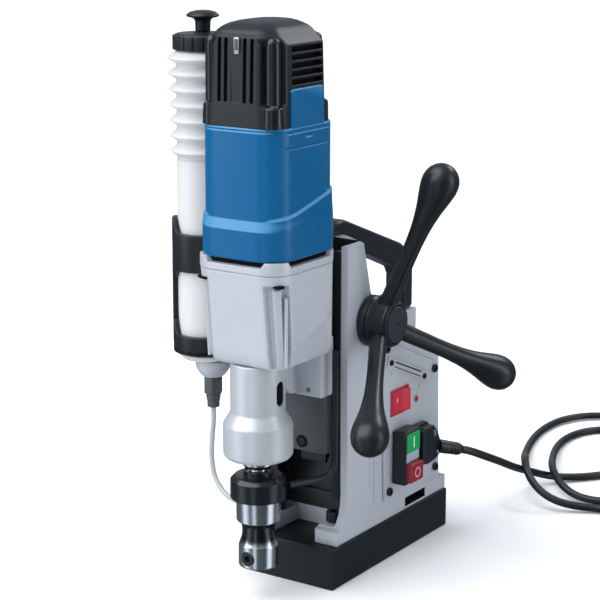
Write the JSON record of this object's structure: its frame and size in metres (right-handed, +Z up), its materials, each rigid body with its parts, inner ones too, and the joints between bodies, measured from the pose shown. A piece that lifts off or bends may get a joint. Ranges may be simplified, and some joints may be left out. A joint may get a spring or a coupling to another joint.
{
  "type": "magnetic drill press",
  "caption": "Portable drill press on an electromagnet foot, with a motor carriage on a rack feed, three-lever feed wheel, tool spindle, coolant bottle and mains lead.",
  "frame": {"origin": "centre of the electromagnet's underside, the face that holds to the workpiece", "axes": "+X to the feed wheel's side, +Y to the carrying handle and rear, +Z up along the spindle and the slide"},
  "size_m": [0.3916, 0.5812, 0.4196],
  "materials": {
    "silver_paint": "satin silver-grey paint on cast aluminium",
    "magnet_steel": "blackened steel block",
    "steel": "machined steel",
    "dark_steel": "blackened steel",
    "chrome": "ground and plated steel",
    "aluminium": "satin turned aluminium",
    "black_plastic": "satin black moulding",
    "blue_plastic": "satin blue moulding",
    "white_plastic": "milky blown plastic",
    "grey_plastic": "grey moulding",
    "rubber": "black flexible rubber",
    "copper": "varnished copper winding",
    "bronze": "sintered bronze",
    "green_plastic": "green moulding",
    "red_plastic": "red moulding",
    "circuit_board": "green board with parts"
  },
  "bodies": {
    "stand": {"magnet_housing": "magnet_steel", "magnet_coil": "copper", "stand_casting": "silver_paint", "foot_bolt_1": "dark_steel", "foot_bolt_2": "dark_steel", "foot_bolt_3": "dark_steel", "foot_bolt_4": "dark_steel", "guide_rail_left": "dark_steel", "guide_rail_right": "dark_steel", "control_panel": "silver_paint", "panel_screw_1": "dark_steel", "panel_screw_2": "dark_steel", "panel_screw_3": "dark_steel", "panel_screw_4": "dark_steel", "rating_plate": "grey_plastic", "rocker_bezel": "black_plastic", "magnet_led": "red_plastic", "switch_box": "black_plastic", "cord_connector": "black_plastic", "strain_relief": "rubber", "mains_cord": "rubber", "cord_coil": "rubber", "cord_tie": "black_plastic", "mains_plug": "black_plastic", "carry_handle": "black_plastic", "control_board": "circuit_board", "feed_bush": "bronze"},
    "rocker": {"magnet_rocker": "red_plastic"},
    "start_key": {"start_button": "green_plastic"},
    "stop_key": {"stop_button": "red_plastic"},
    "feed_wheel": {"feed_shaft": "steel", "feed_hub": "black_plastic", "hub_cap": "grey_plastic", "feed_lever_1": "black_plastic", "feed_lever_2": "black_plastic", "feed_lever_3": "black_plastic"},
    "carriage": {"slide_carriage": "dark_steel", "feed_rack": "steel", "gearbox_housing": "silver_paint", "gearbox_cover": "silver_paint", "spindle_sleeve": "aluminium", "spindle_bearing": "steel", "stator": "steel", "motor_housing": "blue_plastic", "motor_cap": "black_plastic", "coolant_ring": "black_plastic", "ring_stay": "black_plastic", "bottle": "white_plastic", "bottle_bellows": "white_plastic", "bottle_bracket": "black_plastic", "outlet_fitting": "grey_plastic", "coolant_hose": "grey_plastic"},
    "tool_spindle": {"spindle": "chrome", "spindle_gear": "steel", "arbor": "chrome", "arbor_grub_screw": "dark_steel"},
    "layshaft_body": {"layshaft": "steel"},
    "armature_body": {"armature": "copper"},
    "pump_top": {"bottle_cap": "black_plastic", "pump_knob": "black_plastic"}
  },
  "joints": [
    {"name": "feed_slide", "type": "slide", "parent": "stand", "child": "carriage", "axis": [0, 0, 1], "range_m": [-0.015, 0.105]},
    {"name": "feed_turn", "type": "hinge", "parent": "stand", "child": "feed_wheel", "pos_m": [0, -0.0335, 0.1946], "axis": [1, 0, 0], "range_deg": [-503, 73]},
    {"name": "armature_spin", "type": "hinge", "parent": "carriage", "child": "armature_body", "pos_m": [0, -0.1103, 0.3], "axis": [0, 0, 1], "continuous": true},
    {"name": "layshaft_spin", "type": "hinge", "parent": "carriage", "child": "layshaft_body", "pos_m": [0.0168, -0.1038, 0.215], "axis": [0, 0, 1], "continuous": true},
    {"name": "spindle_spin", "type": "hinge", "parent": "carriage", "child": "tool_spindle", "pos_m": [0, -0.1223, 0.15], "axis": [0, 0, 1], "continuous": true},
    {"name": "rocker_tilt", "type": "hinge", "parent": "stand", "child": "rocker", "pos_m": [0.0385, 0.0075, 0.1235], "axis": [0, 0, 1], "range_deg": [0, 16]},
    {"name": "start_press", "type": "slide", "parent": "stand", "child": "start_key", "axis": [-1, 0, 0], "range_m": [0, 0.003], "stiffness_N_per_m": 400, "springref_m": -0.0005},
    {"name": "stop_press", "type": "slide", "parent": "stand", "child": "stop_key", "axis": [-1, 0, 0], "range_m": [0, 0.003], "stiffness_N_per_m": 400, "springref_m": -0.0005},
    {"name": "pump_press", "type": "slide", "parent": "carriage", "child": "pump_top", "axis": [0, 0, -1], "range_m": [0, 0.025], "stiffness_N_per_m": 300, "springref_m": -0.003, "deforming": ["bottle_bellows"]}
  ],
  "couplings": [
    {"joint": "feed_turn", "follows": "feed_slide", "rad_per_m": -83.333},
    {"joint": "layshaft_spin", "follows": "armature_spin", "ratio": -0.33333},
    {"joint": "spindle_spin", "follows": "armature_spin", "ratio": 0.11111}
  ]
}
